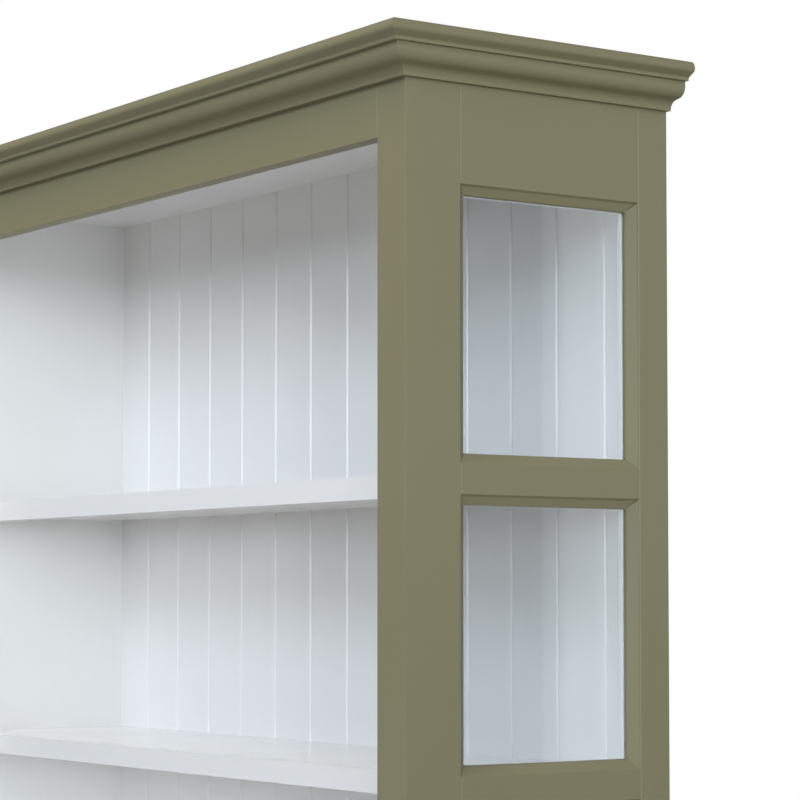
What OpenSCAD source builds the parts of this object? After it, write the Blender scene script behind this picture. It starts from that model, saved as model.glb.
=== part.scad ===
// Free-standing display cabinet with one open bay, fixed shelves, a boarded back,
// a glazed right end, a panelled left end and a mitred cornice.
// Millimetres. X runs to the right, Y to the back, Z up, from the middle of the floor area.

/* [Body] */
// Width over the two end frames
body_w = 1250; // [900:10:1600]
// Depth from the face frame to the back edge
body_d = 350; // [290:5:450]
// Height of the base rails, up to the bottom board
base_h = 100; // [75:5:160]

/* [Face frame] */
// Thickness of the header, the plinth rail and the face stiles
face_t = 18; // [15:1:24]
// Width of a face stile
face_stile_w = 51; // [40:1:80]
// Radius of the rounded front corners, up to the cornice
corner_r = 2; // [1:0.5:4]
// Height of the header, up to the top of the cornice
header_h = 105; // [80:1:140]

/* [End frames] */
// Thickness of the end frames
end_t = 27; // [25:1:34]
// Flat width of the front stile
front_stile_w = 70; // [50:1:100]
// Flat width of the rear stile
rear_stile_w = 41; // [34:1:60]
// Flat height of a middle rail
mid_rail_h = 32; // [24:1:60]
// Flat height of the top rail, up to the top of the cornice
top_rail_h = 153; // [110:1:200]
// Height of a light between its chamfers
light_h = 270; // [200:1:330]
// Width and depth of the chamfer round each light
chamfer = 11; // [6:1:13]
// Depth of the small square step between the flat face and the chamfer
quirk = 1.5; // [0.5:0.5:2]
// Thin square lip behind the chamfer
lip = 1; // [1:0.5:2]

/* [Glazing] */
// Thickness of the glass
glass_t = 4; // [3:1:5]
// How far the glass and the beads lap behind the frame
glass_lap = 7; // [5:0.5:9]
// Room between the edge of the glass and its rebate
glass_gap = 1; // [0.5:0.5:2]
// Chamfer on the room side of a glazing bead
bead_chamfer = 3; // [1:0.5:4]
// Room left in each mitre of a glazing bead
bead_mitre_gap = 0.2; // [0.1:0.1:0.5]

/* [Shelves] */
// Thickness of the shelves and of the bottom board
shelf_t = 26; // [18:1:34]
// Distance from the back of the face frame to the front of a shelf
shelf_setback = 64; // [1:1:120]
// Height of the middle of each shelf over the middle of its rail, from the top down
shelf_offsets = [-2.5, 1.5, 0, 0]; // [-8:0.5:8]
// Thickness of the top board
top_board_t = 18; // [15:1:22]
// Depth of the recess over the top board
top_recess = 18; // [5:1:40]

/* [Back] */
// Thickness of the back boards
back_t = 9; // [8:0.5:12]
// Distance from the back boards to the back edge of the ends
back_inset = 6; // [2:1:15]
// Width of the rebate that holds the boards at each end
back_rebate = 8; // [6:0.5:10]
// Room under the back boards
back_foot = 10; // [0:1:40]
// Width and depth of the bevels that form the V between two boards
vee = 2.2; // [1:0.1:2.4]
// Width of the last board, cut to fit, as a part of a full one
last_board_part = 0.85; // [0.5:0.05:1]
// Thickness of the bottom back rail
back_rail_t = 18; // [12:1:24]

/* [Joints] */
// Thickness of a tenon in the face frame
face_tenon_t = 6; // [5:1:8]
// Length of a tenon in the face frame
face_tenon_l = 25; // [15:1:30]
// Thickness of a tenon in the end frames
end_tenon_t = 9; // [7:1:10]
// Length of a tenon in a front stile
front_tenon_l = 30; // [20:1:40]
// Length of a tenon in a rear stile
rear_tenon_l = 22; // [15:1:26]
// Distance from a tenon to the top or bottom edge of a high rail
tenon_shoulder = 18; // [10:1:25]
// Length of the tongue on the end of a shelf or board
shelf_tongue_l = 6; // [4:0.5:7]
// Thickness of the tongue on the end of a shelf or board
shelf_tongue_t = 8; // [6:1:10]
// Distance from the front of a shelf to the start of its tongue
tongue_setback = 10; // [5:1:30]
// Thickness of the tongue between two back boards
board_tongue_t = 3; // [2:0.5:3.5]
// Length of the tongue between two back boards
board_tongue_l = 6; // [4:0.5:8]
// Room beside a back board's tongue in its groove
board_tongue_gap = 0.2; // [0.1:0.1:0.4]
// Room beyond the end of every tenon and tongue
joint_gap = 1; // [0.5:0.5:1.5]

/* [Cornice] */
// Height of the cornice moulding
cornice_h = 49; // [46:1:60]
// Reach of the cornice in front of the frames
cornice_out = 48.5; // [46:0.5:60]
// Radius of the round nose along the top
nose_r = 8.3; // [6:0.1:9]
// Radius of the hollow under the nose
neck_r = 8; // [6:0.5:8.5]
// Distance from the reach of the nose back to the middle of the hollow
neck_in = 3; // [2:0.5:4]
// Distance from the fillet down to the middle of the hollow
neck_drop = 1.2; // [0.5:0.1:2]
// Height of the fillet over the middle of the ovolo
fillet_rise = 6.4; // [4:0.2:9]
// Reach of the ovolo under the fillet
ovolo_out = 32; // [30:0.5:36]
// Radius of the ovolo
ovolo_r = 11.6; // [9:0.2:12]
// Radius of the cove under the ovolo
cove_r = 11; // [8:0.5:11.5]
// Reach of the foot
foot_out = 7; // [4:0.5:9]
// Height of the foot
foot_h = 0.7; // [0.5:0.1:3]

/* [Glue blocks] */
// Leg of a glue block behind the plinth rail
block_leg = 30; // [20:1:40]
// Length of a glue block
block_l = 70; // [40:5:120]

/* [Hidden] */
tiers = 5;                 // lights in each end, and spaces in the bay
back_boards = 14;
blocks = 4;
outside_paint = [0.49, 0.48, 0.39];
inside_paint = [0.93, 0.94, 0.95];
bare_wood = [0.80, 0.68, 0.50];
clear_glass = [0.75, 0.85, 0.90, 0.35];

// heights
opening_h = light_h + 2 * chamfer;
body_h = base_h + tiers * opening_h + (tiers - 1) * mid_rail_h + top_rail_h;
board_z = base_h - shelf_t;
top_board_z = body_h - top_recess - top_board_t;

// places across the depth
sight_front = front_stile_w + chamfer;
sight_back = body_d - rear_stile_w - chamfer;
rebate_step = chamfer - glass_lap;
chamfer_back = quirk + chamfer;
glass_face = chamfer_back + lip;
bead_face = glass_face + glass_t;
shelf_y = face_t + shelf_setback;
back_y = body_d - back_inset - back_t;

// back boards
boards_x = end_t - back_rebate;
board_w = (body_w - 2 * boards_x) / (back_boards - 1 + last_board_part);
tongue_y = (back_t - board_tongue_t) / 2;

// cornice members, up from the foot
cove_x = foot_out + cove_r;
cove_top = foot_h + cove_r;
ovolo_x = ovolo_out - ovolo_r;
ovolo_z = cove_top + ovolo_r;
fillet_z = ovolo_z + fillet_rise;
neck_x = cornice_out - neck_in;
neck_z = fillet_z - neck_drop;

over = 1;                  // cutters run this far past the faces that they cut

function light_lo(n) = body_h - top_rail_h - n * opening_h - (n - 1) * mid_rail_h;
function light_hi(n) = light_lo(n) + opening_h;
function rail_mid(n) = light_lo(n) - mid_rail_h / 2;
function shelf_z(n) = rail_mid(n) + shelf_offsets[n - 1] - shelf_t / 2;
function two_digits(n) = n < 10 ? str("0", n) : str(n);

SIDES = ["left", "right"];
END_RAILS = concat(["top_rail"], [for (n = [1:tiers - 1]) str("mid_rail_", n)], ["bottom_rail"]);

// Puts a piece drawn from the left front foot of the body where it stands.
module in_place() {
    translate([-body_w / 2, -(body_d - cornice_out) / 2, 0]) children();
}

// Puts a piece drawn for the left end at either end.
module at_end(side) {
    in_place()
    if (side == "left") children();
    else translate([body_w, 0, 0]) mirror([1, 0, 0]) children();
}

// Draws a section of X and Z along the depth.
module along_y(from, to) {
    translate([0, to, 0]) rotate([90, 0, 0]) linear_extrude(to - from) children();
}

// Draws an outline of Y and Z along the width.
module along_x(from, to) {
    translate([from, 0, 0]) rotate([90, 0, 90]) linear_extrude(to - from) children();
}

module block(low, high) {
    translate(low) cube(high - low);
}

// Section of the cornice, outward along X and up along Y, with every round a true arc.
module cornice_section() {
    difference() {
        union() {
            translate([0, fillet_z]) square([cornice_out - nose_r, cornice_h - fillet_z]);
            translate([cornice_out - nose_r, cornice_h - nose_r]) circle(nose_r, $fn = 64);
        }
        translate([neck_x, neck_z]) circle(neck_r, $fn = 64);
    }
    translate([0, cove_top]) square([ovolo_x, fillet_z - cove_top]);
    intersection() {
        translate([ovolo_x, ovolo_z]) circle(ovolo_r, $fn = 64);
        translate([0, cove_top]) square([ovolo_out, fillet_z - cove_top]);
    }
    difference() {
        square([cove_x, cove_top]);
        translate([cove_x, foot_h]) circle(cove_r, $fn = 64);
        translate([foot_out, -over]) square([2 * cove_r, over + foot_h]);
    }
}

module cornice_front() {
    color(outside_paint) in_place() intersection() {
        translate([body_w + cornice_out, 0, body_h - cornice_h]) rotate([90, 0, -90])
            linear_extrude(body_w + 2 * cornice_out) cornice_section();
        linear_extrude(body_h) polygon([
            [0, 0], [body_w, 0],
            [body_w + cornice_out, -cornice_out], [-cornice_out, -cornice_out]]);
    }
}

module cornice_return(side) {
    color(outside_paint) at_end(side) intersection() {
        translate([0, body_d, body_h - cornice_h]) mirror([1, 0, 0]) rotate([90, 0, 0])
            linear_extrude(body_d + cornice_out) cornice_section();
        linear_extrude(body_h) polygon([
            [0, 0], [0, body_d], [-cornice_out, body_d], [-cornice_out, -cornice_out]]);
    }
}

// Tenon of a face rail in the left stile; room is left beyond it in the mortise.
module face_tenon(bottom, top, room = 0) {
    y = (face_t - face_tenon_t) / 2;
    block([face_stile_w - face_tenon_l - room, y, bottom], [face_stile_w, y + face_tenon_t, top]);
}

module face_rail(bottom, top) {
    tenon_lo = bottom + tenon_shoulder;
    tenon_hi = top - tenon_shoulder;
    color(outside_paint) in_place() {
        block([face_stile_w, 0, bottom], [body_w - face_stile_w, face_t, top]);
        face_tenon(tenon_lo, tenon_hi);
        translate([body_w, 0, 0]) mirror([1, 0, 0]) face_tenon(tenon_lo, tenon_hi);
    }
}

// What is planed off the left front corner of the cabinet to round it.
module corner_waste() {
    translate([0, 0, -over]) linear_extrude(body_h - cornice_h + over) difference() {
        translate([-over, -over]) square(corner_r + over);
        translate([corner_r, corner_r]) circle(corner_r, $fn = 48);
    }
}

// A face stile meets the end frame in a mitre along the corner of the cabinet.
module face_stile(side) {
    color(outside_paint) at_end(side) difference() {
        linear_extrude(body_h) polygon([
            [0, 0], [face_stile_w, 0], [face_stile_w, face_t], [face_t, face_t]]);
        face_tenon(tenon_shoulder, base_h - tenon_shoulder, joint_gap);
        face_tenon(body_h - header_h + tenon_shoulder, body_h - tenon_shoulder, joint_gap);
        corner_waste();
    }
}

// Edge of a light, in from the outer face along X and into the light along Y:
// step, chamfer, lip and glazing rebate. It starts a little inside the member that it borders.
module light_edge() {
    polygon([
        [0, -over], [0, 0], [quirk, 0], [chamfer_back, chamfer], [glass_face, chamfer],
        [glass_face, rebate_step], [end_t, rebate_step], [end_t, -over]]);
}

// Outline of a light's opening, drawn in by step on every side, in Y and Z.
module light_outline(n, step) {
    translate([front_stile_w + step, light_lo(n) + step])
        square([sight_back - sight_front + 2 * (chamfer - step), opening_h - 2 * step]);
}

// Chamfered edge of a stile along one light, mitred into the rails; it faces +Y.
module stile_edge(n) {
    lo = light_lo(n);
    hi = light_hi(n);
    intersection() {
        translate([0, 0, lo]) linear_extrude(hi - lo) light_edge();
        along_x(0, end_t) polygon([
            [-over, lo], [0, lo], [chamfer, lo + chamfer],
            [chamfer, hi - chamfer], [0, hi], [-over, hi]]);
    }
}

// Lowest and highest point of the tenon of each end rail, from the top rail down.
function rail_tenons() = concat(
    [[light_hi(1) + tenon_shoulder, body_h - tenon_shoulder]],
    [for (n = [1:tiers - 1]) [light_lo(n) - mid_rail_h, light_lo(n)]],
    [[tenon_shoulder, base_h - tenon_shoulder]]);

module rail_tenon(span, room = 0) {
    x = (end_t - end_tenon_t) / 2;
    front = front_stile_w - front_tenon_l - room;
    back = body_d - rear_stile_w + rear_tenon_l + room;
    block([x, front, span[0]], [x + end_tenon_t, back, span[1]]);
}

// Tongue along the end of a shelf or board that is in the left end frame.
module shelf_tongue(front, bottom, thick, room = 0) {
    z = bottom + (thick - shelf_tongue_t) / 2;
    block([end_t - shelf_tongue_l - room, front, z], [end_t, back_y, z + shelf_tongue_t]);
}

// Housings in the left end frame for every shelf, board and rail that runs across.
module end_housings() {
    shelf_tongue(face_t, top_board_z, top_board_t, joint_gap);
    shelf_tongue(face_t, board_z, shelf_t, joint_gap);
    for (n = [1:tiers - 1])
        shelf_tongue(shelf_y + tongue_setback, shelf_z(n), shelf_t, joint_gap);
    block([end_t - shelf_tongue_l, back_y - back_rail_t, -over], [end_t + over, back_y, board_z]);
}

module front_stile(side) {
    color(outside_paint) at_end(side) difference() {
        union() {
            linear_extrude(body_h) polygon([
                [0, 0], [face_t, face_t], [end_t, face_t],
                [end_t, front_stile_w], [0, front_stile_w]]);
            for (n = [1:tiers]) translate([0, front_stile_w, 0]) stile_edge(n);
        }
        for (span = rail_tenons()) rail_tenon(span, joint_gap);
        end_housings();
        corner_waste();
    }
}

module rear_stile(side) {
    y = body_d - rear_stile_w;
    color(outside_paint) at_end(side) difference() {
        union() {
            block([0, y, 0], [end_t, body_d, body_h]);
            for (n = [1:tiers]) translate([0, y, 0]) mirror([0, 1, 0]) stile_edge(n);
        }
        for (span = rail_tenons()) rail_tenon(span, joint_gap);
        end_housings();
        block([boards_x, back_y, -over], [end_t + over, body_d + over, body_h + over]);
    }
}

// A rail of an end frame, with a chamfered edge wherever it borders a light.
module end_rail(side, bottom, top, light_below, light_above, tenon) {
    front = front_stile_w;
    back = body_d - rear_stile_w;
    below = light_below ? chamfer : 0;
    above = light_above ? chamfer : 0;
    color(outside_paint) at_end(side) difference() {
        union() {
            intersection() {
                along_y(front, back) {
                    translate([0, bottom]) square([end_t, top - bottom]);
                    if (light_below) translate([0, bottom]) mirror([0, 1]) light_edge();
                    if (light_above) translate([0, top]) light_edge();
                }
                along_x(0, end_t) polygon([
                    [front, bottom], [front + below, bottom - below],
                    [back - below, bottom - below], [back, bottom],
                    [back, top], [back - above, top + above],
                    [front + above, top + above], [front, top]]);
            }
            rail_tenon(tenon);
        }
        end_housings();
    }
}

module top_rail(side) {
    end_rail(side, light_hi(1), body_h, true, false, rail_tenons()[0]);
}

module mid_rail(side, n) {
    end_rail(side, light_lo(n) - mid_rail_h, light_lo(n), true, true, rail_tenons()[n]);
}

module bottom_rail(side) {
    end_rail(side, 0, base_h, false, true, rail_tenons()[tiers]);
}

module glass_pane(n) {
    color(clear_glass) at_end("right")
        along_x(glass_face, bead_face) light_outline(n, rebate_step + glass_gap);
}

// Section of a glazing bead, from the rebate towards the light.
module bead_section() {
    polygon([
        [bead_face, rebate_step], [bead_face, chamfer], [end_t - bead_chamfer, chamfer],
        [end_t, chamfer - bead_chamfer], [end_t, rebate_step]]);
}

// Upright bead at the front of a light, mitred at both ends.
module upright_bead(n) {
    lo = light_lo(n) + bead_mitre_gap;
    hi = light_hi(n) - bead_mitre_gap;
    intersection() {
        translate([0, front_stile_w, lo]) linear_extrude(hi - lo) bead_section();
        along_x(0, end_t) translate([front_stile_w, 0]) polygon([
            [0, lo], [chamfer, lo + chamfer], [chamfer, hi - chamfer], [0, hi]]);
    }
}

// Level bead at the foot of a light, mitred at both ends.
module level_bead(n) {
    lo = light_lo(n);
    front = front_stile_w + bead_mitre_gap;
    back = body_d - rear_stile_w - bead_mitre_gap;
    intersection() {
        along_y(front, back) translate([0, lo]) bead_section();
        along_x(0, end_t) polygon([
            [front, lo], [front + chamfer, lo + chamfer],
            [back - chamfer, lo + chamfer], [back, lo]]);
    }
}

module glazing_beads(n) {
    middle = [0, (front_stile_w + body_d - rear_stile_w) / 2, light_lo(n) + opening_h / 2];
    color(inside_paint) at_end("right") {
        upright_bead(n);
        translate(middle) mirror([0, 1, 0]) translate(-middle) upright_bead(n);
        level_bead(n);
        translate(middle) mirror([0, 0, 1]) translate(-middle) level_bead(n);
    }
}

// A wooden panel fills the rebate of the left end, flush with the inside.
module left_panel(n) {
    color(inside_paint) at_end("left") along_x(glass_face, end_t) light_outline(n, rebate_step);
}

// A level board across the bay, with a tongue in each end frame.
module cross_board(front, tongue_front, bottom, thick) {
    color(inside_paint) in_place() {
        block([end_t, front, bottom], [body_w - end_t, back_y, bottom + thick]);
        shelf_tongue(tongue_front, bottom, thick);
        translate([body_w, 0, 0]) mirror([1, 0, 0]) shelf_tongue(tongue_front, bottom, thick);
    }
}

module top_board() {
    cross_board(face_t, face_t, top_board_z, top_board_t);
}

module bottom_board() {
    cross_board(face_t, face_t, board_z, shelf_t);
}

module shelf(n) {
    cross_board(shelf_y, shelf_y + tongue_setback, shelf_z(n), shelf_t);
}

// Section of a back board, from its left edge: bevels, tongue on the right, groove on the left.
module board_section(width, grooved, tongued) {
    groove_lo = tongue_y - board_tongue_gap;
    groove_hi = tongue_y + board_tongue_t + board_tongue_gap;
    groove_l = board_tongue_l + joint_gap;
    tongue_hi = tongue_y + board_tongue_t;
    polygon(concat(
        grooved
            ? [[vee, 0], [0, vee], [0, groove_lo], [groove_l, groove_lo],
               [groove_l, groove_hi], [0, groove_hi], [0, back_t]]
            : [[0, 0], [0, back_t]],
        [[width, back_t]],
        tongued
            ? [[width, tongue_hi], [width + board_tongue_l, tongue_hi],
               [width + board_tongue_l, tongue_y], [width, tongue_y],
               [width, vee], [width - vee, 0]]
            : [[width, 0]]));
}

module back_board(n) {
    last = n == back_boards;
    color(inside_paint) in_place()
        translate([boards_x + (n - 1) * board_w, back_y, back_foot])
            linear_extrude(body_h - back_foot)
                board_section(last ? last_board_part * board_w : board_w, n > 1, !last);
}

module bottom_back_rail() {
    x = end_t - shelf_tongue_l;
    color(bare_wood) in_place()
        block([x, back_y - back_rail_t, 0], [body_w - x, back_y, board_z]);
}

// Three-cornered blocks in the angle of the plinth rail and the bottom board.
module glue_blocks() {
    pitch = (body_w - 2 * end_t) / blocks;
    color(bare_wood) in_place()
        for (n = [0:blocks - 1])
            translate([end_t + (n + 0.5) * pitch, face_t, board_z])
                along_x(-block_l / 2, block_l / 2)
                    polygon([[0, 0], [block_leg, 0], [0, -block_leg]]);
}

cornice_front();
face_rail(body_h - header_h, body_h);  // header_rail
face_rail(0, base_h);  // plinth_rail
for (side = SIDES) {
    cornice_return(side);
    face_stile(side);
    front_stile(side);
    rear_stile(side);
    top_rail(side);
    bottom_rail(side);
    for (n = [1:tiers - 1])
        mid_rail(side, n);
}
for (n = [1:tiers]) {
    glass_pane(n);
    glazing_beads(n);
    left_panel(n);
}
top_board();
bottom_board();
for (n = [1:tiers - 1])
    shelf(n);
for (n = [1:back_boards])
    back_board(n);
bottom_back_rail();
glue_blocks();
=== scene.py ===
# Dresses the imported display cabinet: eased and painted joinery, a swept cornice, glazing,
# nail heads, a pale floor, soft light and a camera. Metres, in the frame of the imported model.
import math

import bmesh
import bpy
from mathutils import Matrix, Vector


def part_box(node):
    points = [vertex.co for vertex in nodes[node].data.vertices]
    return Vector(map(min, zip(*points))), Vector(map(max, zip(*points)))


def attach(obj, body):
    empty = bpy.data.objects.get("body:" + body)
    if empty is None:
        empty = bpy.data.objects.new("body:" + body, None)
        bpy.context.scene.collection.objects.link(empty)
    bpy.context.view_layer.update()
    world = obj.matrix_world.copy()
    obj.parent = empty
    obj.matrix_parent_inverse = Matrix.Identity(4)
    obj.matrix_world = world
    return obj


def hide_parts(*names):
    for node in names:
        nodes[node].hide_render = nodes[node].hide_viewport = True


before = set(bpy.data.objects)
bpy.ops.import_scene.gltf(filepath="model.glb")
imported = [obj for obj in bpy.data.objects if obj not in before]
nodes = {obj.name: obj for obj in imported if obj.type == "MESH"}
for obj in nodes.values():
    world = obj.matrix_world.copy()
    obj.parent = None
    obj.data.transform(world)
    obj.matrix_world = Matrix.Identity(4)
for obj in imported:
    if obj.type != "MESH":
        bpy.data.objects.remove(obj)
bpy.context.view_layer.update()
print("frame loaded with", len(nodes), "nodes")


def addObject(name, data):
    made = bpy.data.objects.new(name, data)
    bpy.context.scene.collection.objects.link(made)
    return made


# The photograph's view
camera = {
    "place": (2.8423, -1.6749, 1.2527),
    "azimuth": 55.605,  # degrees, from a look along +Y
    "pitch": 2.985,
    "lens": 118.8,
    "sensor": 36.0,
    "shiftY": 0.08,
}


def addCamera():
    data = bpy.data.cameras.new("photo camera")
    data.lens = camera["lens"]
    data.sensor_width = camera["sensor"]
    data.shift_y = camera["shiftY"]
    rig = addObject("photo camera", data)
    rig.location = camera["place"]
    rig.rotation_euler = (math.radians(90 + camera["pitch"]), 0, math.radians(camera["azimuth"]))
    bpy.context.scene.camera = rig
    bpy.context.scene.view_settings.view_transform = "Standard"


addCamera()
print("camera placed")

# Places that the pieces share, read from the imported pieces
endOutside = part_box("left_front_stile")[0].x
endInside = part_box("left_front_stile")[1].x  # room side of the left end frame
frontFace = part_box("header_rail")[0].y
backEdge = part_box("left_rear_stile")[1].y
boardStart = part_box("back_board_01")[0].x
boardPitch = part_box("back_board_02")[0].x - boardStart
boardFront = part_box("back_board_01")[0].y
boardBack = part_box("back_board_01")[1].y
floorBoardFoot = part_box("bottom_board")[0].z
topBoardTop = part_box("top_board")[1].z
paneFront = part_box("glass_pane_1")[0].y
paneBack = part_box("glass_pane_1")[1].y
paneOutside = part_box("glass_pane_1")[1].x
panes = [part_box(name) for name in nodes if name.startswith("glass_pane_")]
paneMiddles = [(low + high) / 2 for low, high in panes]

tiny = 0.00005  # nearer than this counts as touching
merging = 0.00001  # corners nearer than this are one
facing = 0.9  # how much of an axis a normal has when its face looks along it
black = (0, 0, 0, 1)
white = (1, 1, 1, 1)


def linear(red, green, blue):
    # a screen colour from 0 to 255 as the light that it stands for
    def channel(value):
        value = value / 255
        if value <= 0.04045:
            return value / 12.92
        return ((value + 0.055) / 1.055) ** 2.4

    return (channel(red), channel(green), channel(blue), 1.0)


class Signal:
    # One output socket of a node tree. Arithmetic on signals adds Math nodes.
    def __init__(self, tree, socket=None):
        self.tree = tree
        self.socket = socket

    def node(self, kind, settings, sockets, output=0):
        # any node: its type, its settings, which come first, and the values or links of its sockets
        made = self.tree.nodes.new(kind)
        for name, value in settings.items():
            if name == "stops":
                placeStops(made.color_ramp, value)
            else:
                setattr(made, name, value)
        for key, value in sockets.items():
            if isinstance(value, Signal):
                self.tree.links.new(value.socket, made.inputs[key])
            else:
                made.inputs[key].default_value = value
        return Signal(self.tree, made.outputs[output] if made.outputs else None)

    def maths(self, operation, first, second=0.0):
        return self.node("ShaderNodeMath", {"operation": operation}, {0: first, 1: second})

    def vector(self, operation, first, second=(0, 0, 0), output=0):
        settings = {"operation": operation}
        return self.node("ShaderNodeVectorMath", settings, {0: first, 1: second}, output)

    def scaled(self, vector, factor):
        settings = {"operation": "SCALE"}
        return self.node("ShaderNodeVectorMath", settings, {0: vector, "Scale": factor})

    def mix(self, share, low, high):
        return self.node("ShaderNodeMix", {"data_type": "RGBA"}, {0: share, 6: low, 7: high}, 2)

    def ramp(self, share, places, colours):
        stops = list(zip(places, colours))
        return self.node("ShaderNodeValToRGB", {"stops": stops}, {0: share})

    def noise(self, place, scale, detail, roughness=0.5):
        sockets = {"Vector": place, "Scale": scale, "Detail": detail, "Roughness": roughness}
        return self.node("ShaderNodeTexNoise", {}, sockets)

    def bump(self, strength, distance, height):
        sockets = {"Strength": strength, "Distance": distance, "Height": height}
        return self.node("ShaderNodeBump", {}, sockets)

    def __add__(self, other):
        return self.maths("ADD", self, other)

    def __radd__(self, other):
        return self.maths("ADD", other, self)

    def __sub__(self, other):
        return self.maths("SUBTRACT", self, other)

    def __rsub__(self, other):
        return self.maths("SUBTRACT", other, self)

    def __mul__(self, other):
        return self.maths("MULTIPLY", self, other)

    def __rmul__(self, other):
        return self.maths("MULTIPLY", other, self)

    def __truediv__(self, other):
        return self.maths("DIVIDE", self, other)

    def __rtruediv__(self, other):
        return self.maths("DIVIDE", other, self)


def placeStops(ramp, stops):
    while len(ramp.elements) < len(stops):
        ramp.elements.new(0.5)
    for element, (place, colour) in zip(ramp.elements, stops):
        element.position = place
        element.color = colour


def newFinish(name):
    material = bpy.data.materials.new(name)
    material.use_nodes = True
    material.node_tree.nodes.clear()
    return material, Signal(material.node_tree)


def drawnOut(place, grain, along, across):
    # the place as a noise sees it whose marks run with the grain
    scale = [across] * 3
    scale["XYZ".index(grain)] = along
    return place.node("ShaderNodeMapping", {}, {"Vector": place, "Scale": scale})


# Paint. Brush marks run with the grain of the board under them.
paint = {
    "outside": {
        "deep": linear(128, 121, 92),
        "pale": linear(136, 130, 101),
        "roughness": 0.52,
        "roughnessSpread": 0.12,
        "specular": 0.32,
    },
    "inside": {
        "deep": linear(231, 229, 227),
        "pale": linear(240, 238, 236),
        "roughness": 0.17,
        "roughnessSpread": 0.05,
        "specular": 0.5,
    },
    "highlight": {  # painted highlight: a lighter olive for the light caught along the joints and on the chamfers of the rails that look up
        "deep": linear(139, 131, 100),
        "pale": linear(147, 141, 110),
        "roughness": 0.48,
        "roughnessSpread": 0.12,
        "specular": 0.32,
    },
    "brushAlong": 9.0,  # brush marks to the metre, with and across the grain
    "brushAcross": 620.0,
    "cloud": 5.0,  # broad, faint changes of tone
    "peel": 1500.0,  # the fine texture left by the roller
    "toneShares": (0.7, 0.3),  # of the clouds and of the brush marks
    "relief": 0.00012,
    "reliefStrength": 0.22,
    "reliefShares": (0.7, 0.3),  # of the brush marks and of the roller's texture
}


def paintFinish(name, look, grain):
    material, start = newFinish(name)
    place = start.node("ShaderNodeTexCoord", {}, {}, "Object")
    stretched = drawnOut(place, grain, paint["brushAlong"], paint["brushAcross"])
    brush = start.noise(stretched, 1.0, 3.0, 0.6)
    cloud = start.noise(place, paint["cloud"], 4.0)
    peel = start.noise(place, paint["peel"], 1.0)
    cloudShare, brushShare = paint["toneShares"]
    tone = cloud * cloudShare + brush * brushShare
    brushShare, peelShare = paint["reliefShares"]
    height = brush * brushShare + peel * peelShare
    surface = start.node(
        "ShaderNodeBsdfPrincipled",
        {},
        {
            "Base Color": start.mix(tone, look["deep"], look["pale"]),
            "Roughness": look["roughness"] + (tone - 0.5) * look["roughnessSpread"],
            "Specular IOR Level": look["specular"],
            "Normal": start.bump(paint["reliefStrength"], paint["relief"], height),
        },
    )
    start.node("ShaderNodeOutputMaterial", {}, {"Surface": surface})
    return material


# Bare softwood: growth rings drawn out along the grain, another run of them on each board
wood = {
    "early": linear(226, 205, 167),
    "late": linear(201, 166, 117),
    "toneEdges": (0.25, 0.62),  # all early wood below the first, all late wood above the second
    "shift": (3, 3, 3),  # how far apart in the pattern two boards may be cut
    "ringsAcross": 13.0,
    "ringsAlong": 0.55,
    "swing": 0.35,
    "rings": 88.0,  # bands in one swing of the noise
    "ringEdge": 2.6,  # how much narrower the dark late wood is than the pale early wood
    "fibre": 900.0,
    "fibreAlong": 14.0,
    "cloud": 3.0,
    "bandTone": 0.42,  # how much the rings, fibres, clouds and each board's own tone count
    "fibreTone": 0.25,
    "cloudTone": 0.25,
    "boardTone": 0.16,
    "knot": linear(120, 82, 52),
    "knots": 4.2,
    "knotEdges": (0.025, 0.055),  # from a knot's middle, where it starts to pale and where it ends
    "roughness": 0.62,
    "roughnessSpread": 0.2,
    "relief": 0.0002,
    "reliefStrength": 0.4,
}


def woodFinish(name, grain):
    material, start = newFinish(name)
    place = start.node("ShaderNodeTexCoord", {}, {}, "Object")
    across = start.node("ShaderNodeSeparateXYZ", {}, {0: place}, "X")
    board = start.maths("FLOOR", (across - boardStart) / boardPitch)
    line = {"noise_dimensions": "1D"}
    shift = start.node("ShaderNodeTexWhiteNoise", line, {"W": board}, "Color")
    ownTone = start.node("ShaderNodeTexWhiteNoise", line, {"W": board + 0.5}, "Value")
    shifted = start.vector("ADD", place, start.vector("MULTIPLY", shift, wood["shift"]))
    drawn = drawnOut(shifted, grain, wood["ringsAlong"], wood["ringsAcross"])
    swing = start.noise(drawn, wood["swing"], 2.0, 0.4)
    waves = start.maths("SINE", swing * (wood["rings"] * 2 * math.pi)) * 0.5 + 0.5
    bands = start.maths("POWER", waves, wood["ringEdge"])
    fibres = drawnOut(shifted, grain, wood["fibreAlong"], wood["fibre"])
    fibre = start.noise(fibres, 1.0, 2.0)
    cloud = start.noise(shifted, wood["cloud"], 3.0)
    tone = bands * wood["bandTone"] + fibre * wood["fibreTone"]
    tone = tone + cloud * wood["cloudTone"] + ownTone * wood["boardTone"]
    plain = start.ramp(tone, wood["toneEdges"], (wood["early"], wood["late"]))
    cells = {"Vector": shifted, "Scale": wood["knots"], "Randomness": 1.0}
    fromKnot = start.node("ShaderNodeTexVoronoi", {}, cells, "Distance")
    knot = start.ramp(fromKnot, wood["knotEdges"], (white, black))
    surface = start.node(
        "ShaderNodeBsdfPrincipled",
        {},
        {
            "Base Color": start.mix(knot, plain, wood["knot"]),
            "Roughness": wood["roughness"] + (fibre - 0.5) * wood["roughnessSpread"],
            "Normal": start.bump(wood["reliefStrength"], wood["relief"], fibre),
        },
    )
    start.node("ShaderNodeOutputMaterial", {}, {"Surface": surface})
    return material


# Clear glass, faintly wavy and smudged. A lamp's light goes straight through it.
glass = {
    "tint": (0.90, 0.92, 0.925, 1.0),
    "shadow": (0.84, 0.88, 0.90, 1.0),  # what a lamp's light keeps through the pane
    "smudges": 9.0,
    "smudge": 0.02,
    "waves": 4.0,
    "wave": 0.00002,
    "waveStrength": 0.3,
}


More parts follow.
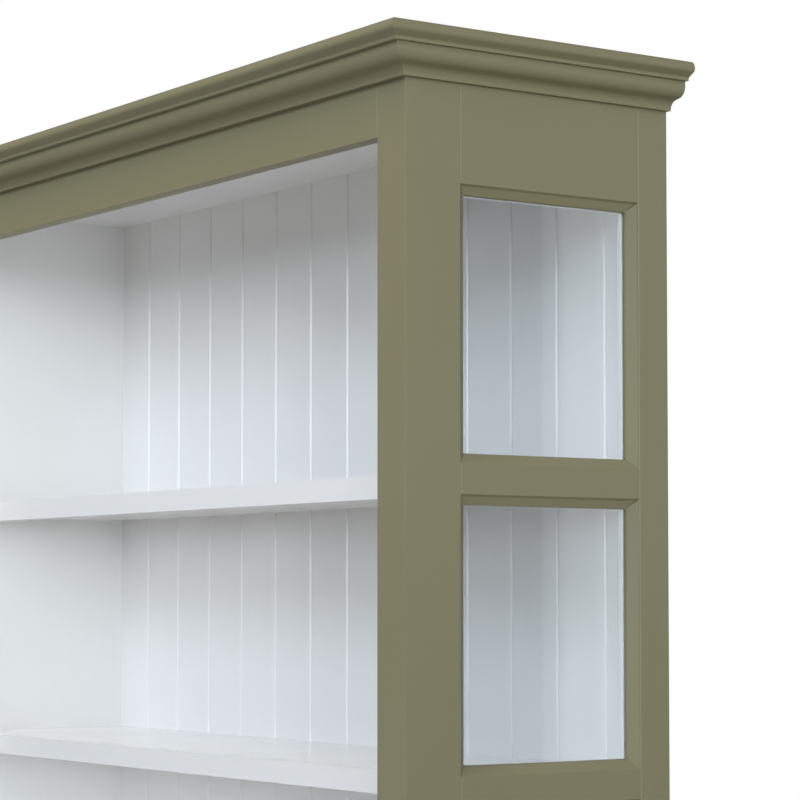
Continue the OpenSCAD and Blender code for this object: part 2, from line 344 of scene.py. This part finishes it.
def glassFinish(name):
    material, start = newFinish(name)
    place = start.node("ShaderNodeTexCoord", {}, {}, "Object")
    cloud = start.noise(place, glass["smudges"], 3.0)
    swell = start.noise(place, glass["waves"], 0.0)
    pane = start.node(
        "ShaderNodeBsdfPrincipled",
        {},
        {
            "Base Color": glass["tint"],
            "Roughness": cloud * glass["smudge"],
            "IOR": 1.5,
            "Transmission Weight": 1.0,
            "Normal": start.bump(glass["waveStrength"], glass["wave"], swell),
        },
    )
    clear = start.node("ShaderNodeBsdfTransparent", {}, {"Color": glass["shadow"]})
    lamp = start.node("ShaderNodeLightPath", {}, {}, "Is Shadow Ray")
    surface = start.node("ShaderNodeMixShader", {}, {0: lamp, 1: pane, 2: clear})
    start.node("ShaderNodeOutputMaterial", {}, {"Surface": surface})
    return material


# Steel of the nail heads, with spots of rust
steel = {
    "colour": linear(150, 150, 152),
    "rust": linear(96, 74, 58),
    "speckle": 260.0,
    "rustEdges": (0.5, 0.75),
    "dulling": 0.4,  # how much less metallic the rusty spots are
    "roughness": 0.38,
    "roughnessSpread": 0.3,
}


def steelFinish(name):
    material, start = newFinish(name)
    place = start.node("ShaderNodeTexCoord", {}, {}, "Object")
    speckle = start.noise(place, steel["speckle"], 4.0)
    stain = start.ramp(speckle, steel["rustEdges"], (black, white))
    surface = start.node(
        "ShaderNodeBsdfPrincipled",
        {},
        {
            "Base Color": start.mix(stain, steel["colour"], steel["rust"]),
            "Metallic": 1 - speckle * steel["dulling"],
            "Roughness": steel["roughness"] + speckle * steel["roughnessSpread"],
        },
    )
    start.node("ShaderNodeOutputMaterial", {}, {"Surface": surface})
    return material


finishes = {}
for axis in "XYZ":
    finishes["outside" + axis] = paintFinish("olive paint " + axis, paint["outside"], axis)
    finishes["inside" + axis] = paintFinish("white paint " + axis, paint["inside"], axis)
    finishes["bare" + axis] = woodFinish("bare softwood " + axis, axis)
# a lighter olive standing for light: the painted highlight on the joints and on the chamfers that
# look up
finishes["highlight"] = paintFinish("worn olive paint", paint["highlight"], "Z")
finishes["glass"] = glassFinish("clear glass")
finishes["steel"] = steelFinish("nail steel")
print("finishes made:", len(finishes))

# Pieces whose grain runs from one end of the cabinet to the other
lengthwise = (
    "cornice_front",
    "header_rail",
    "plinth_rail",
    "bottom_back_rail",
    "glue_blocks",
    "top_board",
    "bottom_board",
    "shelf",
)


def grainOf(name):
    if name.startswith(lengthwise):
        return "X"
    return "Y" if name.startswith("cornice") or "_rail" in name else "Z"


def weldedCopy(name):
    # the node's loose triangles as one closed shell of flat faces
    source = nodes[name].data
    shell = bmesh.new()
    corners = [shell.verts.new(vertex.co) for vertex in source.vertices]
    for face in source.polygons:
        shell.faces.new([corners[i] for i in face.vertices])
    bmesh.ops.remove_doubles(shell, verts=shell.verts, dist=merging)
    flat = math.radians(0.5)
    bmesh.ops.dissolve_limit(shell, angle_limit=flat, verts=shell.verts, edges=shell.edges)
    return shell


def cutShell(shell, place, normal):
    # adds an edge loop where a plane meets the shell
    parts = shell.verts[:] + shell.edges[:] + shell.faces[:]
    bmesh.ops.bisect_plane(shell, geom=parts, plane_co=place, plane_no=normal)


def addBlock(shell, low, high):
    # a closed block between two corners
    place = [(low[i] + high[i]) / 2 for i in range(3)]
    size = [high[i] - low[i] for i in range(3)]
    grid = bmesh.ops.create_cube(shell, size=1.0)["verts"]
    bmesh.ops.scale(shell, vec=size, verts=grid)
    bmesh.ops.translate(shell, vec=place, verts=grid)


# A shelf is a board with a deeper lipping along its front, flush on top, and a tongue at each end
lipping = {"board": 0.019, "depth": 0.020, "tongue": 0.004, "tongueStart": 0.010}


def lippedShelf(name):
    low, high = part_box(name)
    inside = abs(endInside)
    under = high.z - lipping["board"]
    back = low.y + lipping["depth"]
    outline = [
        (low.y, low.z),
        (back, low.z),
        (back, under),
        (high.y, under),
        (high.y, high.z),
        (low.y, high.z),
    ]
    shell = bmesh.new()
    ends = [[shell.verts.new((x, y, z)) for y, z in outline] for x in (-inside, inside)]
    for end in ends:
        shell.faces.new(end)
    for i in range(len(outline)):
        shell.faces.new((ends[0][i - 1], ends[0][i], ends[1][i], ends[1][i - 1]))
    middle = (low.z + high.z) / 2
    start = low.y + lipping["tongueStart"]
    for near, far in ((low.x, -inside), (inside, high.x)):
        foot = (near, start, middle - lipping["tongue"])
        addBlock(shell, foot, (far, high.y, middle + lipping["tongue"]))
    bmesh.ops.recalc_face_normals(shell, faces=shell.faces)
    return shell


# Round each light of the right end. Sizes are depths from the face and widths across the member.
sticking = {
    "step": 0.0015,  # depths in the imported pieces
    "chamferFoot": 0.0125,
    "foot": 0.0103,  # the chamfer's foot as it is worked
    "quirk": (0.0042, 0.0021),  # depth and width of the undercut quirk beneath a rail
    "plain": (0.00075, 0.0008),  # and of the small step on the other sides
}


def workSticking(shell, name):
    # a shallower chamfer, undercut beneath the rails alone
    for vertex in shell.verts:
        place = vertex.co
        depth = -endOutside - place.x
        if abs(depth - sticking["chamferFoot"]) < tiny:
            place.x = -endOutside - sticking["foot"]
        if abs(depth - sticking["step"]) > tiny:
            continue
        middle = min(paneMiddles, key=lambda pane: abs(pane.z - place.z))
        under = "_rail" in name and place.z > middle.z
        newDepth, width = sticking["quirk" if under else "plain"]
        place.x = -endOutside - newDepth
        place.y += math.copysign(width, middle.y - place.y)
        place.z += math.copysign(width, middle.z - place.z)


# Wear and painted highlight. One of two members that meet flush is pared back a little along the
# joint; that slope and the chamfers that look up get a lighter olive, a painted highlight.
# Leans are shares of a face's normal.
wearAndHighlight = {
    "width": 0.0012,
    "depth": 0.0006,
    "chamferLean": 0.4,  # least lean of a chamfer that gets the painted highlight, up as well as out
    "slopeLean": 0.2,  # least lean of a joint's pared-back slope that gets the painted highlight, along the member
    "upright": 0.1,  # most lean of that slope up or down
}


def wearJoint(shell, faceAxis, facePlace, alongAxis, side):
    # side is 1 where the joint is at the low end of the member, -1 at its high end
    def onFace(vertex):
        return abs(vertex.co[faceAxis] - facePlace) < tiny

    start = side * min(vertex.co[alongAxis] * side for vertex in shell.verts if onFace(vertex))
    place = [0, 0, 0]
    normal = [0, 0, 0]
    place[alongAxis] = start + side * wearAndHighlight["width"]
    normal[alongAxis] = 1
    cutShell(shell, place, normal)
    for vertex in shell.verts:
        if onFace(vertex) and abs(vertex.co[alongAxis] - start) < tiny:
            vertex.co[faceAxis] -= math.copysign(wearAndHighlight["depth"], facePlace)


def takesPaintedHighlight(name, face, middle):
    # the chamfers that look up, and the narrow slopes that wearJoint has made: these get the
    # painted highlight
    lean = face.normal
    endRail = name.startswith(("left_", "right_")) and "_rail" in name
    if endRail and lean.z > wearAndHighlight["chamferLean"] and abs(lean.x) > wearAndHighlight["chamferLean"]:
        return True
    if abs(lean.z) > wearAndHighlight["upright"]:
        return False
    if name == "header_rail":
        return tiny < middle.y - frontFace < wearAndHighlight["depth"] and abs(lean.x) > wearAndHighlight["slopeLean"]
    if name.startswith("right_") and name != "right_front_stile":
        return tiny < -endOutside - middle.x < wearAndHighlight["depth"] and abs(lean.y) > wearAndHighlight["slopeLean"]
    return False


# Radius of the outer front corners, as packed and as they are worked
cornerRound = {"packed": 0.002, "worked": 0.0005}


def sharpenCorner(shell):
    packed = cornerRound["packed"]
    worked = cornerRound["worked"]
    for vertex in shell.verts:
        place = vertex.co
        side = math.copysign(1, place.x)
        out = place.x * side + endOutside + packed
        front = frontFace + packed - place.y
        if out > -tiny and front > -tiny:
            place.x = side * (-endOutside - worked + out * worked / packed)
            place.y = frontFace + worked - front * worked / packed


# The boarded back: a slot stays open at the bottom of each V. The last two are packed depths.
veeSlot = {"width": 0.0006, "bevelFoot": 0.0026, "tongueTop": 0.0035}


def openGroove(shell, name):
    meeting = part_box(name)[0].x + boardPitch
    for vertex in shell.verts:
        place = vertex.co
        depth = place.y - boardFront
        if abs(place.x - meeting) < tiny and depth < veeSlot["tongueTop"]:
            place.x -= veeSlot["width"]
            if depth < veeSlot["bevelFoot"]:
                place.y -= veeSlot["width"]


def workedShell(name):
    # a piece's shape, ready to be painted and eased
    shell = lippedShelf(name) if name.startswith("shelf") else weldedCopy(name)
    if name.startswith("right_"):
        workSticking(shell, name)
        if name != "right_front_stile":
            wearJoint(shell, 0, -endOutside, 1, 1)
    if name == "header_rail":
        wearJoint(shell, 1, frontFace, 0, 1)
        wearJoint(shell, 1, frontFace, 0, -1)
    if "front_stile" in name or name.startswith("face_stile"):
        sharpenCorner(shell)
    if name.startswith("back_board"):
        openGroove(shell, name)
    if not name.startswith(("glass", "glazing", "left_panel")):
        for height in (floorBoardFoot, topBoardTop):
            cutShell(shell, (0, 0, height), (0, 0, 1))  # the paint changes behind these boards
    shell.normal_update()
    return shell


def endFrameFinish(face, middle, grain):
    if abs(abs(middle.x) - abs(endInside)) < tiny and abs(face.normal.x) > facing:
        if middle.z < floorBoardFoot:
            return "bareZ"
        return "insideZ" if middle.z < topBoardTop else "outsideZ"
    return "outside" + grain


def finishOf(name, face, grain):
    middle = face.calc_center_median()
    normal = face.normal
    bayWall = "inside" if middle.z < topBoardTop else "outside"  # white up to the top board
    if name.startswith("glass"):
        return "glass"
    # painted highlight on the chamfers that look up and on the joint slopes
    if takesPaintedHighlight(name, face, middle):
        return "highlight"
    if name.startswith("left_panel"):
        return "insideZ" if normal.x > facing else "outsideZ"
    if name.startswith(("left_", "right_")):
        return endFrameFinish(face, middle, grain)
    if name.startswith(("face_stile", "header_rail")):
        return (bayWall if normal.y > facing else "outside") + grain
    if name == "plinth_rail":
        return "bareX" if normal.y > facing else "outsideX"
    if name.startswith("back_board"):
        return "bareZ" if normal.y > facing else bayWall + "Z"
    if name == "top_board":
        return "outsideX" if normal.z > facing else "insideX"
    if name == "bottom_board":
        return "bareX" if normal.z < -facing else "insideX"
    if name.startswith("glazing_beads"):
        return "insideZ"
    if name.startswith("shelf"):
        return "insideX"
    return "bare" + grain


# Eased edges. Sizes are radii; joints that are glued tight and painted over have none.
easing = {
    "arris": 0.0008,
    "light": 0.0005,  # round the lights of the end frames
    "lip": 0.0016,  # where a light's chamfer meets its lip
    "joint": 0.0002,  # where the end frames' members meet
    "groove": 0.0006,  # beside the grooves of the boarded back
    "segments": 3,
    "sharp": math.radians(24),  # edges that bend less are left smooth
    "pastPane": 0.02,  # how far beyond the panes an edge still belongs to a light
    "longEdge": 0.2,  # shorter ones there belong to a joint
}
widest = easing["lip"]  # the bevel's width, of which each edge's weight is a share


def onPlane(edge, axis, place):
    return all(abs(abs(vertex.co[axis]) - abs(place)) < tiny for vertex in edge.verts)


def easeOf(name, edge):
    # how far one edge is rounded; 0 where it is crisp or tight against a neighbour
    if name.startswith(("glass", "left_panel", "shelf", "top_board", "bottom_board")):
        return 0
    if onPlane(edge, 0, endInside) and not name.startswith("glazing"):
        return 0
    if name.startswith(("left_", "right_")) and onPlane(edge, 0, paneOutside):
        return 0
    low, high = (vertex.co for vertex in edge.verts)
    if all(abs(abs(endOutside) - abs(co.x) - (co.y - frontFace)) < tiny for co in (low, high)):
        return 0  # the mitre of the front corners
    if name.startswith("back_board"):
        outer = all(co.y < boardFront + tiny or co.y > boardBack - tiny for co in (low, high))
        return easing["groove"] if outer else 0
    if name.startswith(("left_", "right_")):
        middle = (low + high) / 2
        if all(abs(-endOutside - co.x - sticking["foot"]) < tiny for co in (low, high)):
            return easing["lip"]
        if paneFront - easing["pastPane"] < middle.y < paneBack + easing["pastPane"]:
            return easing["light"] if (low - high).length > easing["longEdge"] else easing["joint"]
    return easing["arris"]


def paintFaces(shell, name):
    # returns the finishes in the order of the mesh's material slots
    grain = grainOf(name)
    used = []
    for face in shell.faces:
        wanted = finishOf(name, face, grain)
        if wanted not in used:
            used.append(wanted)
        face.material_index = used.index(wanted)
        face.smooth = True
    return used


def weighEdges(shell, name):
    # weights for the edges that are eased, and a sharp mark on those that stay tight
    weights = shell.edges.layers.float.new("bevel_weight_edge")
    for edge in shell.edges:
        if edge.calc_face_angle(0) > easing["sharp"]:
            ease = easeOf(name, edge) if edge.is_convex else 0
            edge[weights] = ease / widest
            edge.smooth = ease > 0


def dress(name):
    shell = workedShell(name)
    used = paintFaces(shell, name)
    weighEdges(shell, name)
    mesh = bpy.data.meshes.new(name + "_finished")
    shell.to_mesh(mesh)
    shell.free()
    for wanted in used:
        mesh.materials.append(finishes[wanted])
    piece = addObject(name + "_finished", mesh)
    if not name.startswith("glass"):
        bevel = piece.modifiers.new("eased edges", "BEVEL")
        bevel.width = widest
        bevel.segments = easing["segments"]
        bevel.limit_method = "WEIGHT"
        bevel.use_clamp_overlap = False
        bevel.harden_normals = True
    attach(piece, "root")
    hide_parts(name)


boards = [name for name in nodes if not name.startswith("cornice")]
for name in boards:
    dress(name)
print("boards and panes dressed:", len(boards))

# The cornice: one section of true arcs, swept along the front and both ends and mitred.
# Sizes are radii, or places out from the frames and up from the cornice's foot.
cornice = {
    "nose": 0.0083,  # round nose, above its middle and below it
    "noseUnder": 0.005,
    "slope": 61,  # degrees that the splay under the nose leans
    "neckOut": 0.038,
    "neck": 0.0026,
    "neckRise": 0.0019,  # middle of the hollow over the fillet
    "fillet": 0.0286,
    "ovoloOut": 0.032,
    "ovolo": 0.0116,
    "ovoloHeight": 0.0233,
    "ovoloTurn": 76,  # degrees that the ovolo turns, and the cove under it
    "cove": 0.010,
    "footOut": 0.0076,
    "footHeight": 0.0009,
    "arcSteps": 14,
    "sharp": 30,  # degrees; edges that bend less are smooth
}


def arc(middle, radius, start, end):
    # points of an arc, by its angles in degrees
    steps = cornice["arcSteps"]
    turns = [math.radians(start + (end - start) * i / steps) for i in range(steps + 1)]
    out, up = middle
    return [(out + radius * math.cos(turn), up + radius * math.sin(turn)) for turn in turns]


def corniceSection(height, reach):
    c = cornice
    coveMiddle = (c["footOut"] + c["cove"], c["footHeight"])
    ovoloMiddle = (c["ovoloOut"] - c["ovolo"], c["ovoloHeight"])
    neckMiddle = (c["neckOut"] + c["neck"], c["fillet"] + c["neckRise"])
    underMiddle = (reach - c["noseUnder"], height - c["nose"])
    noseMiddle = (reach - c["nose"], height - c["nose"])
    return (
        [(0, 0), (c["footOut"], 0)]
        + arc(coveMiddle, c["cove"], 180, 180 - c["ovoloTurn"])
        + arc(ovoloMiddle, c["ovolo"], -c["ovoloTurn"], 0)
        + [(c["ovoloOut"], c["fillet"]), (c["neckOut"], c["fillet"])]
        + arc(neckMiddle, c["neck"], 180, 180 - c["slope"])
        + arc(underMiddle, c["noseUnder"], -c["slope"], 0)
        + arc(noseMiddle, c["nose"], 0, 90)[1:]
        + [(0, height)]
    )


def sectionCurve(points):
    data = bpy.data.curves.new("cornice section", "CURVE")
    data.dimensions = "3D"
    line = data.splines.new("POLY")
    line.points.add(len(points) - 1)
    for place, (out, up) in zip(line.points, points):
        place.co = (out, -up, 0, 1)  # a swept section's Y points down
    line.use_cyclic_u = True
    return addObject("cornice section", data)


def newTree(name, inputs):
    tree = bpy.data.node_groups.new(name, "GeometryNodeTree")
    tree.interface.new_socket(name="Geometry", in_out="OUTPUT", socket_type="NodeSocketGeometry")
    tree.interface.new_socket(name="Geometry", in_out="INPUT", socket_type="NodeSocketGeometry")
    for label, kind in inputs.items():
        tree.interface.new_socket(name=label, in_out="INPUT", socket_type="NodeSocket" + kind)
    start = Signal(tree)
    given = {label: start.node("NodeGroupInput", {}, {}, label) for label in inputs}
    return tree, start, given


def endTree(start, shape, finish):
    whole = start.node("GeometryNodeRealizeInstances", {}, {"Geometry": shape})
    painted = start.node("GeometryNodeSetMaterial", {}, {"Geometry": whole, "Material": finish})
    start.node("NodeGroupOutput", {}, {"Geometry": painted})


def grow(name, tree, values):
    # runs a node tree and keeps its result as a plain mesh
    holder = addObject(name, bpy.data.meshes.new(name))
    modifier = holder.modifiers.new(name, "NODES")
    modifier.node_group = tree
    for item in tree.interface.items_tree:
        if item.in_out == "INPUT" and item.name in values:
            modifier[item.identifier] = values[item.name]
    seen = holder.evaluated_get(bpy.context.evaluated_depsgraph_get())
    mesh = bpy.data.meshes.new_from_object(seen)
    holder.modifiers.clear()
    holder.data = mesh
    mesh.name = name
    return holder


def mouldingTree():
    inputs = {
        "Section": "Object",
        "Start": "Vector",
        "End": "Vector",
        "Start Mitre": "Float",
        "End Mitre": "Float",
        "Finish": "Material",
    }
    tree, start, given = newTree("mitred moulding", inputs)
    section = start.node("GeometryNodeObjectInfo", {}, {"Object": given["Section"]}, "Geometry")
    ends = {"Start": given["Start"], "End": given["End"]}
    line = start.node("GeometryNodeCurvePrimitiveLine", {"mode": "POINTS"}, ends)
    upright = start.node("GeometryNodeSetCurveNormal", {"mode": "Z_UP"}, {"Curve": line})
    sweep = {"Curve": upright, "Profile Curve": section, "Fill Caps": True}
    swept = start.node("GeometryNodeCurveToMesh", {}, sweep)
    way = start.vector("SUBTRACT", given["End"], given["Start"])
    ahead = start.vector("NORMALIZE", way)
    outward = start.vector("CROSS_PRODUCT", ahead, (0, 0, 1))
    place = start.node("GeometryNodeInputPosition", {}, {})
    fromStart = start.vector("SUBTRACT", place, given["Start"])
    reach = start.vector("DOT_PRODUCT", fromStart, outward, "Value")
    along = start.vector("DOT_PRODUCT", fromStart, ahead, "Value")
    length = start.vector("LENGTH", way, output="Value")
    atEnd = start.maths("GREATER_THAN", along, length * 0.5)
    slide = reach * (atEnd * given["End Mitre"] - (1 - atEnd) * given["Start Mitre"])
    offset = start.scaled(ahead, slide)
    mitred = start.node("GeometryNodeSetPosition", {}, {"Geometry": swept, "Offset": offset})
    endTree(start, mitred, given["Finish"])
    return tree


def settleMesh(piece):
    # doubles merged, faces outward, smooth but for the sharp edges
    shell = bmesh.new()
    shell.from_mesh(piece.data)
    bmesh.ops.remove_doubles(shell, verts=shell.verts, dist=merging)
    bmesh.ops.recalc_face_normals(shell, faces=shell.faces)
    for face in shell.faces:
        face.smooth = True
    shell.to_mesh(piece.data)
    shell.free()
    piece.data.set_sharp_from_angle(angle=math.radians(cornice["sharp"]))


def addCornice():
    frontLow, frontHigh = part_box("cornice_front")
    reach = frontHigh.x + endOutside
    section = sectionCurve(corniceSection(frontHigh.z - frontLow.z, reach))
    tree = mouldingTree()
    left = Vector((endOutside, frontFace, frontLow.z))
    right = Vector((-endOutside, frontFace, frontLow.z))
    deep = Vector((0, backEdge - frontFace, 0))
    runs = {
        "cornice_front": (left, right, 1.0, 1.0),
        "cornice_right": (right, right + deep, 1.0, 0.0),
        "cornice_left": (left + deep, left, 0.0, 1.0),
    }
    for name, (first, last, firstMitre, lastMitre) in runs.items():
        values = {
            "Section": section,
            "Start": first,
            "End": last,
            "Start Mitre": firstMitre,
            "End Mitre": lastMitre,
            "Finish": finishes["outside" + grainOf(name)],
        }
        piece = grow(name + "_finished", tree, values)
        settleMesh(piece)
        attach(piece, "root")
        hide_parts(name)
    bpy.data.objects.remove(section)


addCornice()
print("cornice swept")

# Nails of the back: shallow round heads in rows, slightly out of line
nails = {
    "radius": 0.0019,
    "rise": 0.0004,
    "perBoard": 2,
    "stray": 0.0006,
    "segments": 12,
    "rings": 6,
}


def headTree():
    inputs = {
        "Start": "Vector",
        "End": "Vector",
        "Count": "Int",
        "Size": "Vector",
        "Stray": "Float",
        "Seed": "Int",
        "Finish": "Material",
    }
    tree, start, given = newTree("row of heads", inputs)
    row = start.node(
        "GeometryNodeMeshLine",
        {"mode": "END_POINTS", "count_mode": "TOTAL"},
        {"Count": given["Count"], "Start Location": given["Start"], "Offset": given["End"]},
    )
    sphere = {"Segments": nails["segments"], "Rings": nails["rings"], "Radius": 1.0}
    ball = start.node("GeometryNodeMeshUVSphere", {}, sphere)
    smooth = start.node("GeometryNodeSetShadeSmooth", {}, {"Geometry": ball})
    chance = {0: (-1, 0, -1), 1: (1, 0, 1), "Seed": given["Seed"]}
    stray = start.node("FunctionNodeRandomValue", {"data_type": "FLOAT_VECTOR"}, chance)
    offset = start.scaled(stray, given["Stray"])
    moved = start.node("GeometryNodeSetPosition", {}, {"Geometry": row, "Offset": offset})
    seats = {"Points": moved, "Instance": smooth, "Scale": given["Size"]}
    heads = start.node("GeometryNodeInstanceOnPoints", {}, seats)
    endTree(start, heads, given["Finish"])
    return tree


def joinInto(name, parts):
    whole = bmesh.new()
    for part in parts:
        whole.from_mesh(part.data)
    mesh = bpy.data.meshes.new(name)
    whole.to_mesh(mesh)
    whole.free()
    mesh.materials.append(finishes["steel"])
    piece = addObject(name, mesh)
    for part in parts:
        bpy.data.objects.remove(part)
    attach(piece, "root")


def addBackNails():
    # two nails through each back board into every shelf and the top and bottom boards
    tree = headTree()
    spacing = boardPitch / nails["perBoard"]
    count = nails["perBoard"] * sum(name.startswith("back_board") for name in nodes)
    rows = []
    backing = [name for name in nodes if name.startswith("shelf")] + ["top_board", "bottom_board"]
    for seed, name in enumerate(sorted(backing)):
        low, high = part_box(name)
        first = Vector((boardStart + spacing / 2, boardBack, (low.z + high.z) / 2))
        values = {
            "Start": first,
            "End": first + Vector((spacing * (count - 1), 0, 0)),
            "Count": count,
            "Size": Vector((nails["radius"], nails["rise"], nails["radius"])),
            "Stray": nails["stray"],
            "Seed": seed,
            "Finish": finishes["steel"],
        }
        rows.append(grow("nail row", tree, values))
    joinInto("back_nails", rows)


addBackNails()
print("nails driven")

# The floor of a white studio
stage = {
    "radius": 10.0,
    "segments": 96,
    "deep": linear(232, 228, 220),
    "pale": linear(240, 237, 230),
    "cloud": 1.5,
    "roughness": 0.7,
    "roughnessSpread": 0.1,
    "glow": 0.45,  # the share of plain white that the camera sees in the floor
}


def floorFinish():
    material, start = newFinish("studio floor")
    place = start.node("ShaderNodeTexCoord", {}, {}, "Object")
    cloud = start.noise(place, stage["cloud"], 3.0)
    surface = start.node(
        "ShaderNodeBsdfPrincipled",
        {},
        {
            "Base Color": start.mix(cloud, stage["deep"], stage["pale"]),
            "Roughness": stage["roughness"] + cloud * stage["roughnessSpread"],
        },
    )
    glow = start.node("ShaderNodeEmission", {}, {"Color": white, "Strength": 1.0})
    seen = start.node("ShaderNodeLightPath", {}, {}, "Is Camera Ray")
    lit = start.node("ShaderNodeMixShader", {}, {0: seen * stage["glow"], 1: surface, 2: glow})
    start.node("ShaderNodeOutputMaterial", {}, {"Surface": lit})
    return material


def addFloor():
    disc = bmesh.new()
    segments = stage["segments"]
    bmesh.ops.create_circle(disc, cap_ends=True, segments=segments, radius=stage["radius"])
    mesh = bpy.data.meshes.new("studio_floor")
    disc.to_mesh(mesh)
    disc.free()
    mesh.materials.append(floorFinish())
    ground = addObject("studio_floor", mesh)


# Panels of light far away stand for large diffusers. Angles are in degrees: azimuth from -90 to
# 270, counted from straight in front towards the right end, and height over the horizon.
softness = 0.5  # half the width of a panel's blurred edge
panels = [
    {"azimuth": (-25, 25), "height": (0, 12), "strength": 0.944, "colour": (0.723, 0.83, 1.0)},
    {"azimuth": (25, 70), "height": (0, 12), "strength": 6.774, "colour": (0.837, 0.922, 1.0)},
    {"azimuth": (25, 70), "height": (12, 30), "strength": 1.653, "colour": (0.749, 0.895, 1.0)},
    {"azimuth": (70, 120), "height": (-9, 0), "strength": 7.636, "colour": (0.929, 0.995, 1.0)},
    {"azimuth": (-125, -70), "height": (0, 60), "strength": 0.1, "colour": (1.0, 0.8, 0.7)},
    {"azimuth": (185, 262), "height": (-8, 8), "strength": 6.0, "colour": (0.94, 0.97, 1.0)},
]
# One more is seen in the glass alone. Its near edge fades in three steps.
glassPanel = {"height": (-4, 14), "strength": 0.6, "colour": (0.95, 0.98, 1.0)}
for nearEdge, soft in ((127.5, 0.05), (127.93, 0.15), (128.7, 0.2)):
    panels.append({"azimuth": (nearEdge, 150), "soft": soft, **glassPanel})


def band(start, value, low, high, soft):
    # 1 between low and high, falling to 0 within the soft width on both sides
    settings = {"interpolation_type": "SMOOTHSTEP"}
    up = start.node("ShaderNodeMapRange", settings, {0: value, 1: low - soft, 2: low + soft})
    down = start.node("ShaderNodeMapRange", settings, {0: value, 1: high - soft, 2: high + soft})
    return up * (1 - down)


def addWorld():
    world = bpy.data.worlds.new("studio")
    world.use_nodes = True
    world.node_tree.nodes.clear()
    start = Signal(world.node_tree)
    way = start.node("ShaderNodeTexCoord", {}, {}, "Generated")
    x, y, z = [start.node("ShaderNodeSeparateXYZ", {}, {0: way}, axis) for axis in "XYZ"]
    turn = start.maths("ARCTAN2", x, 0 - y) * (180 / math.pi)
    around = start.maths("FLOORED_MODULO", turn + 90, 360.0) - 90
    height = start.maths("ARCSINE", z) * (180 / math.pi)
    glow = (0.0, 0.0, 0.0)
    for panel in panels:
        mask = band(start, around, *panel["azimuth"], panel.get("soft", softness))
        mask = mask * band(start, height, *panel["height"], softness) * panel["strength"]
        glow = start.vector("ADD", glow, start.scaled(panel["colour"], mask))
    seen = start.node("ShaderNodeLightPath", {}, {}, "Is Camera Ray")
    plain = start.node("ShaderNodeBackground", {}, {"Color": white, "Strength": 1.0})
    lit = start.node("ShaderNodeBackground", {}, {"Color": glow, "Strength": 1.0})
    surface = start.node("ShaderNodeMixShader", {}, {0: seen, 1: lit, 2: plain})
    start.node("ShaderNodeOutputWorld", {}, {"Surface": surface})
    bpy.context.scene.world = world


# Lamps, all aimed at the middle of the cabinet
lampAim = (0, 0, 1.2)
lamps = [
    {"name": "front key", "place": (0.2, -4.0, 3.6), "size": (2.4, 1.6),
     "watts": 75.5, "colour": (0.778, 0.866, 1.0)},
    {"name": "front right", "place": (3.8, -2.0, 3.3), "size": (2.0, 1.6),
     "watts": 16.0, "colour": (1.0, 0.987, 0.889)},
    {"name": "overhead", "place": (0.0, -2.0, 4.4), "size": (2.4, 1.6),
     "watts": 50.0, "colour": (1.0, 0.969, 0.909)},
    {"name": "rear right", "place": (2.6, 2.2, 4.6), "size": (2.0, 1.6),
     "watts": 19.5, "colour": (0.913, 0.851, 1.0)},
]


def addLamp(lamp):
    data = bpy.data.lights.new(lamp["name"], "AREA")
    data.shape = "RECTANGLE"
    data.size, data.size_y = lamp["size"]
    data.energy = lamp["watts"]
    data.color = lamp["colour"]
    rig = addObject(lamp["name"], data)
    rig.location = lamp["place"]
    look = Vector(lampAim) - Vector(lamp["place"])
    rig.rotation_euler = look.to_track_quat("-Z", "Y").to_euler()
    rig.visible_camera = False


addFloor()
addWorld()
for lamp in lamps:
    addLamp(lamp)
print("studio lit")
